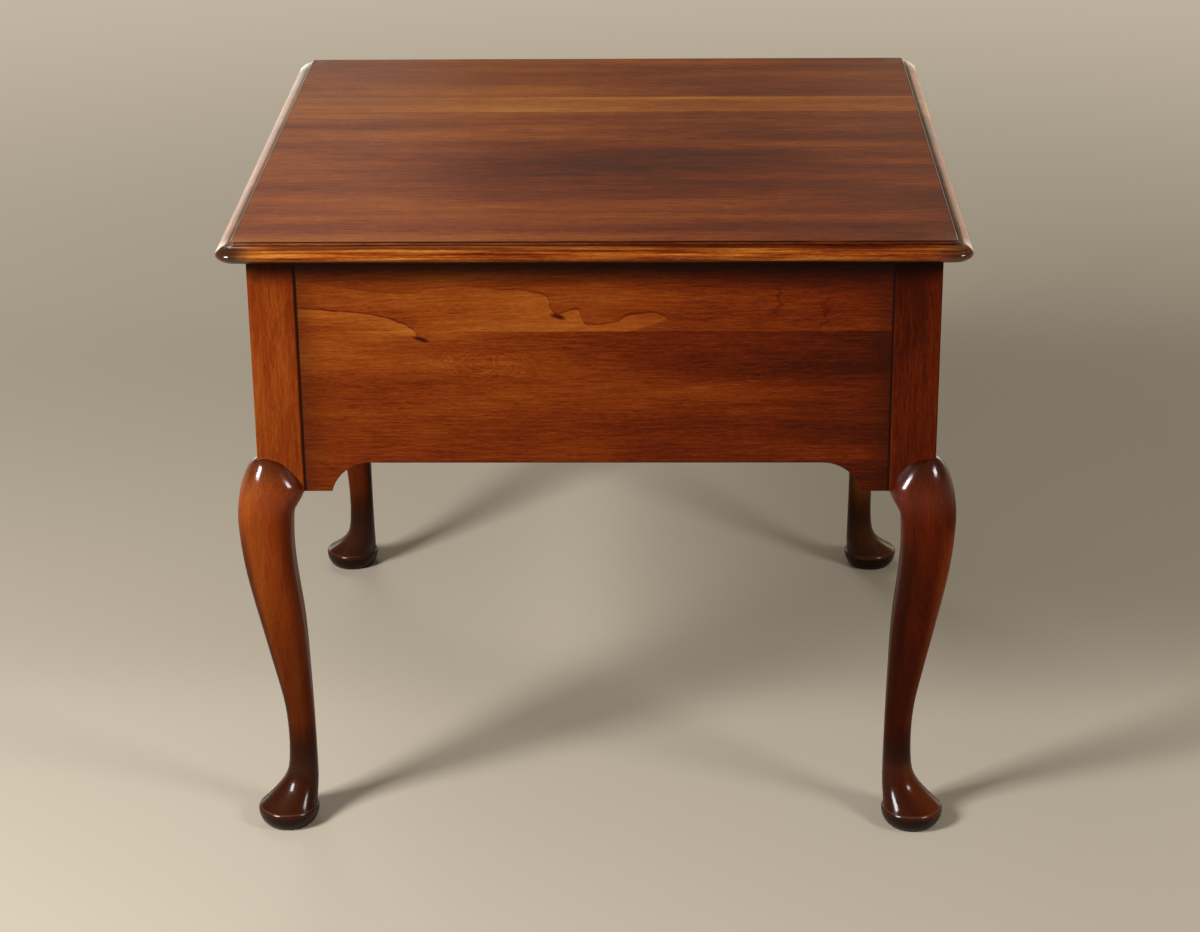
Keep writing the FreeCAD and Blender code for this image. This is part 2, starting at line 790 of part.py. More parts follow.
block_plan = [
    (apron_in_x, -post_in_y), (apron_in_x, size.corner_block_side - post_in_y),
    (post_in_x - size.corner_block_side, -apron_in_y), (post_in_x, -apron_in_y), (post_in_x, -post_in_y),
]
corner_block = strip("corner_block_blank", block_plan, block_bottom, size.corner_block_height)
pair("corner_block", cut("left_corner_block", corner_block, *block_holes))

pair("apron", cut("left_apron", side_apron, *rail_holes))

# Drawer box: bottom, dovetailed sides and back
lip_back = post_out_y + size.lip_gap
front_face = lip_back + size.lip_thickness
front_back = front_face - size.drawer_front_thickness
drawer_floor = opening_bottom + size.drawer_rest_gap
drawer_out_x = post_in_x - size.drawer_side_gap
drawer_in_x = drawer_out_x - size.drawer_side_thickness
drawer_end = size.drawer_back_room - apron_in_y
panel_bottom = drawer_floor + size.drawer_bottom_rise
panel_top = panel_bottom + size.drawer_bottom_thickness

stop_back = drawer_end - size.stop_gap - size.stop_length
pair("drawer_stop", block(
    "left_drawer_stop", (runner_in_x, drawer_out_x), (stop_back, stop_back + size.stop_length),
    (opening_bottom, opening_bottom + size.stop_height),
))

panel_out_x = drawer_in_x + size.drawer_groove
panel = block(
    "drawer_panel", (-panel_out_x, panel_out_x), (drawer_end, front_back + size.drawer_groove),
    (panel_bottom, panel_top),
)
bottom_places = [
    (share * drawer_in_x, drawer_end + size.drawer_back_thickness / 2, panel_bottom)
    for share in BOTTOM_SCREW_SHARES
]
bottom_made, bottom_holes = screw_row("bottom_screw", size.bottom_screw_length, UPRIGHT, bottom_places)
node(gathered("drawer_bottom_screws", *bottom_made), "drawer_bottom_screws")
node(cut("drawer_bottom", panel, *bottom_holes), "drawer_bottom")

side_body = doc.addObject("PartDesign::Body", "drawer_side_blank")
side_outline = sketch_on(side_body, "drawer_side_outline", "YZ_Plane", lift=drawer_in_x)
tail_root_back = drawer_end + size.drawer_back_thickness
block_z = (drawer_floor, opening_top - size.drawer_top_gap)
side_top = block_z[1] - size.drawer_side_drop
side_height = side_top - drawer_floor


def tails(root_y, end_y):
    """The corners of one end's dovetails, from the bottom up."""
    corners = []
    for share in DOVETAIL_MIDDLE_SHARES:
        middle = drawer_floor + share * side_height
        half = DOVETAIL_HALF_NECK_SHARE * side_height
        wide = half + size.dovetail_flare
        corners += [(root_y, middle - half), (end_y, middle - wide)]
        corners += [(end_y, middle + wide), (root_y, middle + half)]
    return corners


front_end = tails(front_back, front_back + size.dovetail_length)
back_end = tails(tail_root_back, drawer_end)
side_corners = [(tail_root_back, drawer_floor), (front_back, drawer_floor)]
side_corners += front_end
side_corners += [(front_back, side_top), (tail_root_back, side_top)]
side_corners += reversed(back_end)
draw(side_outline, side_corners)
pad(side_body, "drawer_side_pad", side_outline, size.drawer_side_thickness)
left_side = node(cut("drawer_left_side", side_body, panel), "drawer_left_side")
right_side = node(mirrored("drawer_right_side", left_side, X_AXIS), "drawer_right_side")

back_blank = block(
    "drawer_back_blank", (-drawer_out_x, drawer_out_x), (drawer_end, tail_root_back),
    (panel_top, side_top - size.drawer_back_drop),
)
node(cut("drawer_back", back_blank, left_side, right_side, *bottom_holes), "drawer_back")

# Drawer front: a block that fills the opening, with a rounded lip past it at the top and both ends
front_body = doc.addObject("PartDesign::Body", "drawer_front_blank")
lip_outline = sketch_on(front_body, "lip_outline", "XZ_Plane", lift=-front_face)
lip_x = drawer_out_x + size.lip_overlap
lip_z = block_z[1] + size.lip_overlap
draw(lip_outline, [(-lip_x, block_z[0]), (lip_x, block_z[0]), (lip_x, lip_z), (-lip_x, lip_z)])
lip = pad(front_body, "lip", lip_outline, size.lip_thickness)
rounded(front_body, "lip_thumb", lip, size.lip_round, lambda edge: lies_at(edge, "Y", front_face))
core_outline = sketch_on(front_body, "core_outline", "XZ_Plane", lift=-lip_back)
draw(core_outline, [
    (-drawer_out_x, block_z[0]), (drawer_out_x, block_z[0]),
    (drawer_out_x, block_z[1]), (-drawer_out_x, block_z[1]),
])
pad(front_body, "core", core_outline, size.drawer_front_thickness - size.lip_thickness)

# Pulls: a turned post with a ball head, a rosette and a nut at each end, and between the heads a bail with
# a swelled grip
pull_x = size.pull_spread / 2
pull_z = (block_z[0] + block_z[1]) / 2
hinge_y = front_face + size.pull_projection
head_radius = size.pull_head_diameter / 2
post_x = pull_x + size.pull_bore / 2


def turned(name, corners, radii=None):
    """A brass turned about the left pull's outer post, from corners (radius, distance from the front)."""
    body = doc.addObject("PartDesign::Body", name)
    half = sketch_on(body, f"{name}_half", "XY_Plane", lift=pull_z, right=post_x, up=front_face)
    draw(half, corners, radii)
    revolved(body, f"{name}_turning", half)
    return body


def four_of(name, first):
    """One brass at each end of both pulls."""
    second = mirrored(f"{name}_inner", first, X_AXIS, pull_x)
    return both_sides(name, [first, second])


neck_radius = size.pull_neck_diameter / 2
stud_radius = size.stud_diameter / 2
stud_reach = size.drawer_front_thickness + size.stud_end
head_base = size.pull_projection - root(head_radius * head_radius - neck_radius * neck_radius)
post_turned = turned(
    "pull_post_blank",
    [
        (0, -stud_reach), (stud_radius, -stud_reach), (stud_radius, size.rosette_thickness),
        (neck_radius, size.rosette_thickness), (neck_radius, head_base),
        (head_radius, size.pull_projection), (0, size.pull_projection + head_radius),
    ],
    {4: head_radius, 5: head_radius},
)
pin_hole = doc.addObject("Part::Cylinder", "bail_pin_hole")
bind(
    pin_hole, Radius=size.bail_pin_diameter / 2 + size.bail_pin_gap,
    Height=size.bail_pin_length + size.pull_head_diameter,
)
aimed(pin_hole, TO_LEFT, post_x - size.pull_head_diameter, hinge_y, pull_z)
node(gathered("pull_posts", *four_of("pull_post", cut("pull_post", post_turned, pin_hole))), "pull_posts")

rosette_radius = size.rosette_diameter / 2
stud_hole_radius = stud_radius + size.stud_gap
rosette = turned(
    "rosette",
    [
        (stud_hole_radius, 0), (rosette_radius, 0), (rosette_radius, size.rosette_rim),
        (rosette_radius - size.rosette_bead, size.rosette_rim),
        (neck_radius + size.rosette_rim, size.rosette_thickness),
        (stud_hole_radius, size.rosette_thickness),
    ],
    {2: size.rosette_bead_radius, 3: -size.rosette_cove_radius},
)
node(gathered("pull_rosettes", *four_of("rosette", rosette)), "pull_rosettes")

nut_blank = doc.addObject("Part::Prism", "nut_blank")
nut_blank.Polygon = 6
bind(nut_blank, Circumradius=size.nut_diameter / 2, Height=size.nut_thickness)
TO_BACK = FreeCAD.Rotation(Z_AXIS, -Y_AXIS)
aimed(nut_blank, TO_BACK, post_x, front_back, pull_z)
stud_hole = doc.addObject("Part::Cylinder", "stud_hole")
bind(stud_hole, Radius=stud_hole_radius, Height=stud_reach + size.cut_overrun)
aimed(stud_hole, TO_BACK, post_x, front_face + size.cut_overrun / 2, pull_z)
node(gathered("pull_nuts", *four_of("nut", cut("nut", nut_blank, stud_hole))), "pull_nuts")

stud_holes = four_of("stud_hole", stud_hole)
node(cut("drawer_front", front_body, left_side, right_side, panel, *stud_holes), "drawer_front")

bail_body = doc.addObject("PartDesign::Body", "bail_rod")
bail_route = sketch_on(bail_body, "bail_route", "XZ_Plane", lift=-hinge_y, right=pull_x, up=pull_z)
bail_start = size.pull_bore / 2 - head_radius - size.bail_head_gap
bail_arm = bail_start - size.bail_shoulder_radius
bail_foot = bail_arm - size.bail_corner_radius
right_half = [
    (bail_foot, -size.bail_drop), (bail_arm, size.bail_corner_radius - size.bail_drop),
    (bail_arm, -size.bail_shoulder_radius), (bail_start, 0),
]
left_half = [(-u, v) for u, v in reversed(right_half)]
draw(
    bail_route, left_half + right_half,
    {
        0: -size.bail_shoulder_radius, 2: size.bail_corner_radius,
        4: size.bail_corner_radius, 6: -size.bail_shoulder_radius,
    },
    closed=False,
)
bail_round = sketch_on(
    bail_body, "bail_round", "YZ_Plane", lift=pull_x - bail_start, right=hinge_y, up=pull_z
)
draw_circle(bail_round, size.bail_diameter / 2)
swept(bail_body, "PartDesign::AdditivePipe", "bail_bend", bail_round, bail_route)
grip_body = doc.addObject("PartDesign::Body", "bail_grip")
grip_half = sketch_on(
    grip_body, "bail_grip_half", "XZ_Plane", lift=-hinge_y, right=pull_x, up=pull_z - size.bail_drop
)
grip_end = size.bail_grip_length / 2
grip_radius = size.bail_diameter / 2 + size.bail_grip_step
draw(
    grip_half, [(-grip_end, 0), (grip_end, 0), (grip_end, grip_radius), (-grip_end, grip_radius)],
    {2: size.bail_grip_radius},
)
revolved(grip_body, "bail_grip_turning", grip_half, "H_Axis")
pins = []
for side, rotation in ((1, TO_LEFT), (-1, FreeCAD.Rotation(Z_AXIS, -X_AXIS))):
    pin = doc.addObject("Part::Cylinder", f"bail_pin_{len(pins)}")
    bind(pin, Radius=size.bail_pin_diameter / 2, Height=size.bail_pin_length)
    pins.append(aimed(pin, rotation, pull_x + side * bail_start, hinge_y, pull_z))
pair("bail", fused("left_bail", bail_body, grip_body, *pins))

# Every piece is sound before any is written
doc.recompute()
for thing in doc.Objects:
    if "Invalid" in thing.State or "Error" in thing.State:
        raise RuntimeError(f"{thing.Label} failed: {thing.State}")
for piece in pieces:
    if piece.Shape.isNull() or not piece.Shape.isValid():
        raise RuntimeError(f"{piece.Label} has no sound shape")
os.makedirs("parts", exist_ok=True)
for piece in pieces:
    piece.Shape.exportStep(f"parts/{piece.Label}.step")
    print(f"{piece.Label}: {len(piece.Shape.Solids)} solids, {piece.Shape.Volume:.0f} mm3")
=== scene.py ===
import math

import bmesh
import bpy
from mathutils import Matrix, Vector


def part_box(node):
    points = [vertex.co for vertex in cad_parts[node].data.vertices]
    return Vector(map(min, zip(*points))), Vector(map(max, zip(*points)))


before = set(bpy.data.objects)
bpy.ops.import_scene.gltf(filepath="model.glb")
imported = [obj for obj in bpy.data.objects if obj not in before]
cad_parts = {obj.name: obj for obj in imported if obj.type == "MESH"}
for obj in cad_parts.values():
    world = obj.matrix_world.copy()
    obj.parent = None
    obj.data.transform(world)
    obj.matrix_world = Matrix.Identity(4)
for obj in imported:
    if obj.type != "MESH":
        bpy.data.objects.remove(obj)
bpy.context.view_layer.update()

# Legs
# Each leg is sawn and shaved from one square cherry blank, with its grain upright, and its pad foot is
# turned on the same blank. The wood is stained, glazed dark at the crown of the knee and the foot, and
# lacquered, and shade is painted over the crown, on the sides of the shank, under the top and below the
# foot's rim.
QUARTER_TURN = math.radians(90)
GRAIN_UP = (0, -QUARTER_TURN, 0)
CHERRY_TONES = (
    (0.12, (0.035, 0.0035, 0.0005)),
    (0.30, (0.100, 0.0105, 0.0010)),
    (0.45, (0.170, 0.0265, 0.0024)),
    (0.60, (0.250, 0.0560, 0.0066)),
    (0.76, (0.340, 0.1000, 0.0165)),
    (0.95, (0.450, 0.1700, 0.0360)),
)
YEAR_GREYS = ((0, 0.7), (0.025, 0), (0.14, 0.22), (0.6, 0.42), (0.98, 0.7))
RING_TAPER = 0.12
RING_WANDER = 0.05
RING_RIPPLE = 0.007
GRAIN_WANDER = 0.012
FIBRE_DEPTH = 0.00002
NEXT_BOARD = (1.7, 0.11, 0.043)
GLAZE_AND_SHADE_COLOUR = (0.011, 0.0018, 0.0004, 1)
PAINTED_HIGHLIGHT_COLOUR = (0.34, 0.20, 0.14, 1)


class Finish:
    """A material whose nodes are added by short calls."""

    def __init__(self, name):
        self.material = bpy.data.materials.new(name)
        self.material.use_nodes = True
        self.tree = self.material.node_tree
        self.shader = self.tree.nodes["Principled BSDF"]

    def feed(self, socket, value):
        """Link a socket to another node's output, or set its value."""
        if isinstance(value, bpy.types.NodeSocket):
            self.tree.links.new(value, socket)
        else:
            socket.default_value = value

    def surface(self, inputs):
        """Feed the shader's own sockets."""
        for name, value in inputs.items():
            self.feed(self.shader.inputs[name], value)

    def node(self, kind, inputs, output=0, **settings):
        made = self.tree.nodes.new("ShaderNode" + kind)
        for name, value in settings.items():
            setattr(made, name, value)
        for key, value in inputs.items():
            self.feed(made.inputs[key], value)
        return made.outputs[output]

    def place(self, centre=(0, 0, 0), turn=(0, 0, 0)):
        """Places on the piece, from a centre and along turned axes."""
        coordinates = self.node("TexCoord", {}, output="Object")
        inputs = {"Vector": coordinates, "Location": centre, "Rotation": turn}
        return self.node("Mapping", inputs, vector_type="TEXTURE")

    def part(self, vector, axis):
        return self.node("SeparateXYZ", {0: vector}, output=axis)

    def sum(self, first, second):
        return self.node("VectorMath", {0: first, 1: second}, operation="ADD")

    def stretched(self, vector, scale):
        return self.node("VectorMath", {0: vector, 1: scale}, operation="MULTIPLY")

    def length(self, vector):
        return self.node("VectorMath", {0: vector}, output="Value", operation="LENGTH")

    def noise(self, vector, scale, detail=2, output="Fac"):
        """Soft noise with this many swells to the metre along each axis."""
        inputs = {"Vector": self.stretched(vector, scale), "Scale": 1, "Detail": detail}
        return self.node("TexNoise", inputs, output=output)

    def drift(self, vector, scale, detail=2):
        """Noise along all three axes, from -0.5 to 0.5, that pushes a place about."""
        return self.sum(self.noise(vector, scale, detail, output="Color"), (-0.5, -0.5, -0.5))

    def math(self, operation, first, second=0.0):
        return self.node("Math", {0: first, 1: second}, operation=operation)

    def joined(self, operation, values):
        total = values[0]
        for value in values[1:]:
            total = self.math(operation, total, value)
        return total

    def times(self, *values):
        return self.joined("MULTIPLY", values)

    def most(self, *values):
        return self.joined("MAXIMUM", values)

    def weighted(self, *terms):
        """The sum of pairs of a value and its weight."""
        return self.joined("ADD", [self.times(value, weight) for value, weight in terms])

    def balanced(self, *terms):
        """The weighted sum of noises, shifted so that its middle is 0."""
        return self.weighted(*terms, (1, -sum(weight for noise, weight in terms) / 2))

    def gap(self, value, level):
        """How far a value is from a level, to either side."""
        return self.math("ABSOLUTE", self.math("SUBTRACT", value, level))

    def off_middle(self, vector, axis):
        return self.math("ABSOLUTE", self.part(vector, axis))

    def band(self, value, start, stop):
        """Rises smoothly from 0 at start to 1 at stop, which may be the lower one."""
        inputs = {"Value": value, "From Min": start, "From Max": stop}
        return self.node("MapRange", inputs, interpolation_type="SMOOTHSTEP")

    def ridge(self, value, start, full, past, stop):
        """Rises from 0 at start to 1 at full, and falls from 1 at past to 0 at stop."""
        return self.times(self.band(value, start, full), self.band(value, stop, past))

    def year(self, from_pith, pitch):
        """Rises from 0 to 1 across each year's ring."""
        return self.math("FRACT", self.math("DIVIDE", from_pith, pitch))

    def ramp(self, value, stops):
        made = self.tree.nodes.new("ShaderNodeValToRGB")
        points = made.color_ramp.elements
        while len(points) < len(stops):
            points.new(1)
        for point, (place, colour) in zip(points, stops):
            point.position = place
            point.color = (*colour, 1)
        self.feed(made.inputs[0], value)
        return made.outputs[0]

    def curve(self, value, points):
        """A smooth line through points of a value from 0 to 1 and what it becomes."""
        made = self.tree.nodes.new("ShaderNodeFloatCurve")
        line = made.mapping.curves[0]
        while len(line.points) < len(points):
            line.points.new(0.5, 0.5)
        for point, place in zip(line.points, points):
            point.location = place
        made.mapping.update()
        self.feed(made.inputs["Value"], value)
        return made.outputs[0]

    def mixed(self, share, first, second, blend="MIX"):
        inputs = {0: share, 6: first, 7: second}
        return self.node("Mix", inputs, output=2, data_type="RGBA", blend_type=blend)

    def bump(self, height, distance):
        return self.node("Bump", {"Height": height, "Distance": distance, "Strength": 1})


def cherry(name, turn, centre, pith=(0.03, 0.09), pitch=0.03, rings=0.03, clouds=0.4, sway=1.0,
           streaks=0.32, joins=(), shade=0.0, cast=(1, 1, 1, 1), tint_light_and_shade=None, glaze_and_shade=None, painted_highlight=None,
           gloss=0.12, haze=0.18, depth=1.5):
    """Stained cherry. The pattern's x runs along the grain, and the pith lies off centre in y and z.

    Pitch is the width of a year's ring, rings and clouds are how much the rings and the broad shading
    show, and sway is how far the grain wanders. Each join is a place across the grain where the next
    board starts, and how much its rings show. Shade shifts the tone all over, and cast tints it.
    The tint, glaze and highlight functions give a shift of tone, the share of dark glaze and the share of
    a paler colour: the shift also holds painted light and shade, the glaze painted shade, and the paler
    colour is a painted highlight. Streaks, the strength of the fine grain, and gloss, the share of
    lacquer, are numbers or such functions, haze is the lacquer's roughness and depth its refraction.
    """
    wood = Finish(name)
    spot = wood.place(centre, turn)
    across = wood.part(spot, "Y")
    ring_weight = rings
    for join, next_rings in joins:
        beyond = wood.math("GREATER_THAN", across, join)
        shift = {axis: wood.times(beyond, step) for axis, step in zip("XYZ", NEXT_BOARD)}
        spot = wood.sum(spot, wood.node("CombineXYZ", shift))
        ring_weight = wood.weighted((ring_weight, 1), (beyond, next_rings - rings))
    wander = wood.drift(spot, (3.4, 9, 9), detail=1)
    ripple = wood.drift(spot, (26, 80, 80), detail=3)
    ring_sway = RING_WANDER * sway
    grain_sway = GRAIN_WANDER * sway
    grown = wood.sum(spot, wood.stretched(wander, (RING_WANDER, ring_sway, ring_sway)))
    grown = wood.sum(grown, wood.stretched(ripple, (0, RING_RIPPLE, RING_RIPPLE)))
    straight = wood.sum(spot, wood.stretched(wander, (0, grain_sway, grain_sway)))
    from_pith = wood.length(wood.stretched(wood.sum(grown, (0, *pith)), (RING_TAPER, 1, 1)))
    year_stops = [(place, (grey, grey, grey)) for place, grey in YEAR_GREYS]
    late = wood.ramp(wood.year(from_pith, pitch), year_stops)
    cloud = wood.noise(straight, (2.3, 26, 26), detail=1)
    mottle = wood.noise(grown, (9, 32, 32), detail=1)
    patch = wood.noise(spot, (3, 8, 8), detail=1)
    dash = wood.noise(straight, (6, 180, 180), detail=3)
    fleck = wood.noise(straight, (34, 560, 560), detail=1)
    fibre = wood.noise(straight, (150, 1500, 1500), detail=1)
    broad = wood.balanced((cloud, clouds), (mottle, 0.14), (patch, 0.18))
    fine = wood.balanced((dash, 0.45), (fleck, 1.1), (fibre, 1.2))
    fine_weight = streaks(wood) if callable(streaks) else streaks
    tone = wood.weighted(
        (broad, 1), (fine, fine_weight), (late, wood.times(ring_weight, -1)), (1, 0.5 + shade),
    )
    # The shift of tone also holds painted light and shade on the legs and aprons.
    if tint_light_and_shade:
        tone = wood.math("ADD", tone, tint_light_and_shade(wood))
    colour = wood.ramp(tone, CHERRY_TONES)
    gum = wood.band(wood.noise(straight, (46, 420, 420)), 0.68, 0.73)
    colour = wood.mixed(wood.times(gum, 0.3), colour, GLAZE_AND_SHADE_COLOUR)
    colour = wood.mixed(1.0, colour, cast, blend="MULTIPLY")
    # The glaze share also holds painted shade, and a painted shadow under the top.
    if glaze_and_shade:
        colour = wood.mixed(glaze_and_shade(wood), colour, GLAZE_AND_SHADE_COLOUR)
    # A painted highlight in a paler colour.
    if painted_highlight:
        colour = wood.mixed(painted_highlight(wood), colour, PAINTED_HIGHLIGHT_COLOUR)
    wood.surface({
        "Base Color": colour,
        "Roughness": wood.weighted((fibre, 0.1), (mottle, 0.12), (1, 0.26)),
        "Normal": wood.bump(fibre, FIBRE_DEPTH),
        "Specular IOR Level": 0.03,
        "Coat Weight": gloss(wood) if callable(gloss) else gloss,
        "Coat Roughness": haze,
        "Coat IOR": depth,
    })
    return wood.material


def dress(node, material):
    """Give a node of the frame its finish."""
    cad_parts[node].material_slots[0].material = material


# Heights over the floor
CROWN_TOP = 0.3935
KNEE = 0.342
SHANK = 0.30
ANKLE = 0.10
FOOT_RIM = 0.0186

OVERHANG = 0.026
ANKLE_GLAZE = 0.93
top_low, top_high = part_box("table_top")
post_outer = top_high.x - OVERHANG


def leg_proud(wood, spot):
    """How far a place stands out from the faces of the post."""
    reach = wood.most(wood.off_middle(spot, "X"), wood.off_middle(spot, "Y"))
    return wood.math("SUBTRACT", reach, post_outer)


def leg_sides(wood, outside):
    """How far a place on the leg faces out of the table sideways, from -1 to 1."""
    facing = wood.part(wood.node("NewGeometry", {}, output="Normal"), "X")
    return wood.times(facing, outside)


def leg_glaze_and_shade(outside, toe, inner, outer):
    """Glaze with painted shade in the crease over the crown, painted shade on the sides of the shank,
    under the top and below the foot's rim, and glaze down to the foot.

    Outside is -1 or 1, for the side of the table that the leg is on, toe is the glaze on its toe, inner
    is how a place faces where the painted shade of the inner side starts and is full, and outer is the
    painted shade on the outer edge.
    """
    def masks(wood):
        spot = wood.place()
        height = wood.part(spot, "Z")
        proud = leg_proud(wood, spot)
        off_post = wood.band(proud, 0.0004, 0.0012)
        line = wood.ridge(proud, 0.0002, 0.0006, 0.001, 0.0035)
        soft = wood.times(off_post, wood.band(proud, 0.019, 0.003))
        brow = wood.times(off_post, wood.band(height, KNEE + 0.02, CROWN_TOP - 0.002))
        # The crease, the soft band and the brow over the crown are glaze with painted shade.
        crease_glaze_and_shade = wood.most(wood.times(line, 0.95), wood.times(soft, 0.65), wood.times(brow, 0.72))
        near_top = wood.band(height, KNEE, CROWN_TOP - 0.012)
        facing = leg_sides(wood, outside)
        # Painted shade on the inward-facing side and on the outer edge, by how the surface faces.
        inner_shade = wood.times(wood.band(facing, *inner), 0.74)
        outer_shade = wood.times(wood.band(facing, 0.1, 0.8), outer)
        below_knee = wood.band(height, KNEE + 0.02, KNEE - 0.06)
        shank = wood.times(wood.band(height, SHANK, ANKLE), 0.56)
        ankle = wood.weighted(
            (wood.band(height, ANKLE + 0.06, ANKLE - 0.03), ANKLE_GLAZE),
            (wood.band(height, ANKLE - 0.03, ANKLE - 0.06), toe - ANKLE_GLAZE),
        )
        # Painted shade on the foot below the upper edge of its rim.
        sole_shade = wood.times(wood.band(height, FOOT_RIM - 0.001, FOOT_RIM - 0.004), 0.98)
        # Painted shadow under the top.
        shade_under_top = wood.times(wood.band(height, top_low.z - 0.03, top_low.z - 0.002), 0.8)
        return wood.most(
            wood.times(crease_glaze_and_shade, near_top), wood.times(wood.most(inner_shade, outer_shade), below_knee), shank,
            ankle, sole_shade, shade_under_top,
        )
    return masks


def leg_light_and_shade(outside, paler):
    """Painted light on the outward-facing side of the shank, and painted shade on the post near the top.
    """
    def shift(wood):
        height = wood.part(wood.place(), "Z")
        outer = wood.times(wood.band(leg_sides(wood, outside), 0, 0.5), wood.band(height, KNEE, SHANK))
        shade_under_top = wood.band(height, top_low.z - 0.14, top_low.z)
        return wood.weighted((outer, paler), (shade_under_top, -0.1))
    return shift


def leg_gloss(wood):
    """Satin on the post and the shank, and polished on the crown of the knee and the foot."""
    spot = wood.place()
    height = wood.part(spot, "Z")
    off_post = wood.band(leg_proud(wood, spot), 0, 0.0006)
    crown = wood.times(off_post, wood.band(height, KNEE - 0.01, KNEE + 0.03))
    foot = wood.band(height, ANKLE, ANKLE - 0.05)
    return wood.weighted((crown, 0.88), (foot, 0.4), (1, 0.1))


def leg_streaks(wood):
    """Lively grain on the post, which fades on the rounded leg below it."""
    height = wood.part(wood.place(), "Z")
    return wood.weighted((wood.band(height, KNEE, CROWN_TOP + 0.01), 0.08), (1, 0.14))


def foot_rim_highlight(wood):
    """A painted highlight along the upper edge of the foot's rim."""
    height = wood.part(wood.place(), "Z")
    return wood.times(wood.band(wood.gap(height, FOOT_RIM), 0.0009, 0.0003), 0.1)


# Each leg's shade is partly its own tone and partly painted light and shade: back_left_leg is darker as
# painted shade and front_left_leg lighter as painted light. Inner and outer set the painted shade on the
# sides, and paler the painted light on the outer side.
LEG_FINISHES = {
    "back_right_leg": {"shade": -0.03, "toe": 0.9, "inner": (-0.45, -1.3), "outer": 0.8, "paler": 0},
    "back_left_leg": {"shade": -0.22, "toe": 0.05, "inner": (0.2, -0.35), "outer": 0, "paler": 0.22},
    "front_right_leg": {"shade": -0.08, "toe": 0.85, "inner": (-0.1, -0.95), "outer": 0.3, "paler": 0},
    "front_left_leg": {"shade": 0.16, "toe": 0.85, "inner": (-0.1, -0.95), "outer": 0.3, "paler": 0},
}
LEG_GRAIN_STEP = 0.7
for number, (leg, finish) in enumerate(LEG_FINISHES.items()):
    low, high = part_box(leg)
    middle = ((low.x + high.x) / 2, (low.y + high.y) / 2, LEG_GRAIN_STEP * number)
    outside = math.copysign(1, middle[0])
    dress(leg, cherry(
        leg + "_cherry", GRAIN_UP, middle, pith=(0.008, 0.03), pitch=0.011, rings=0.06, clouds=0.34,
        sway=0.4, streaks=leg_streaks, shade=finish["shade"], tint_light_and_shade=leg_light_and_shade(outside, finish["paler"]),
        glaze_and_shade=leg_glaze_and_shade(outside, finish["toe"], finish["inner"], finish["outer"]), painted_highlight=foot_rim_highlight,
        gloss=leg_gloss, haze=0.14, depth=1.4,
    ))

# Aprons
# Three deep cherry boards join the legs, each glued up from two and tenoned into the posts. Their
# brackets are sawn in one with them, the glaze is left dark in the corners, and shade is painted
# under the top and beside the posts.
GRAIN_ALONG_BACK = (QUARTER_TURN, 0, 0)
GRAIN_ALONG_SIDE = (QUARTER_TURN, 0, QUARTER_TURN)
GLUE_LINE = 0.519
BRACKET_DROP = 0.029
BRACKET_START = 0.204
apron_low, apron_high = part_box("back_apron")
straight_edge = apron_low.z + BRACKET_DROP
post_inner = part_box("left_guide")[0].x


def apron_glaze_and_shade(along):
    """Painted shadow under the top, glaze with painted shade beside the posts, and glaze dark in the
    joints with the posts and on the lower arris.

    Along is the axis that the apron or rail runs along.
    """
    def masks(wood):
        spot = wood.place()
        height = wood.part(spot, "Z")
        run = wood.off_middle(spot, along)
        # Painted shadow under the top, and glaze with painted shade beside the posts.
        shade_under_top = wood.times(wood.band(height, top_low.z - 0.034, top_low.z - 0.002), 0.9)
        glaze_and_shade_near_post = wood.times(wood.band(run, post_inner - 0.03, post_inner), 0.4)
        joint = wood.times(wood.band(run, post_inner - 0.0036, post_inner - 0.0016), 0.97)
        straight = wood.band(run, BRACKET_START, BRACKET_START - 0.003)
        arris = wood.band(height, straight_edge + 0.0018, straight_edge + 0.0005)
        return wood.most(shade_under_top, glaze_and_shade_near_post, joint, wood.times(straight, arris, 0.7))
    return masks


def apron_tone_and_shade(along):
    """The stain is rubbed thinner on the upper board, and painted shade darkens it towards +X or +Y."""
    def shift(wood):
        spot = wood.place()
        run = wood.part(spot, along)
        upper = wood.band(wood.part(spot, "Z"), GLUE_LINE - 0.0004, GLUE_LINE + 0.0004)
        # Painted shade towards +X or +Y.
        far = wood.band(run, -0.12, 0.3)
        far_upper = wood.times(wood.band(run, 0.02, 0.24), upper)
        near_upper = wood.times(wood.band(run, -0.1, -0.26), upper)
        return wood.weighted((upper, 0.11), (far, -0.24), (far_upper, -0.02), (near_upper, -0.11))
    return shift


HIGH_CONTOUR = (
    (-0.29, 0.570), (-0.25, 0.565), (-0.205, 0.558), (-0.17, 0.556), (-0.149, 0.561), (-0.124, 0.563),
    (-0.092, 0.560), (-0.06, 0.558), (-0.047, 0.555), (-0.041, 0.547), (-0.035, 0.536), (-0.025, 0.538),
    (-0.0145, 0.5405), (-0.0105, 0.528), (-0.002, 0.525), (0.013, 0.527), (0.023, 0.529), (0.0265, 0.533),
    (0.044, 0.5365), (0.056, 0.5365), (0.066, 0.532), (0.073, 0.524), (0.082, 0.510), (0.2, 0.497),
    (0.29, 0.496),
)
LOW_CONTOUR = (
    (-0.29, 0.543), (-0.235, 0.5385), (-0.2, 0.534), (-0.18, 0.528), (-0.167, 0.520), (-0.158, 0.510),
    (-0.12, 0.507), (0.29, 0.505),
)
CONTOUR_LOW = 0.49
CONTOUR_HIGH = 0.59
PITCH_MARKS = ((-0.160, 0.511), (-0.033, 0.5335))
CURLS = ((0.169, 0.545), (0.2125, 0.537))
EYES = ((-0.105, 0.486, 0.045), (0.145, 0.475, 0.013))
EYE_PITCH = 0.0045


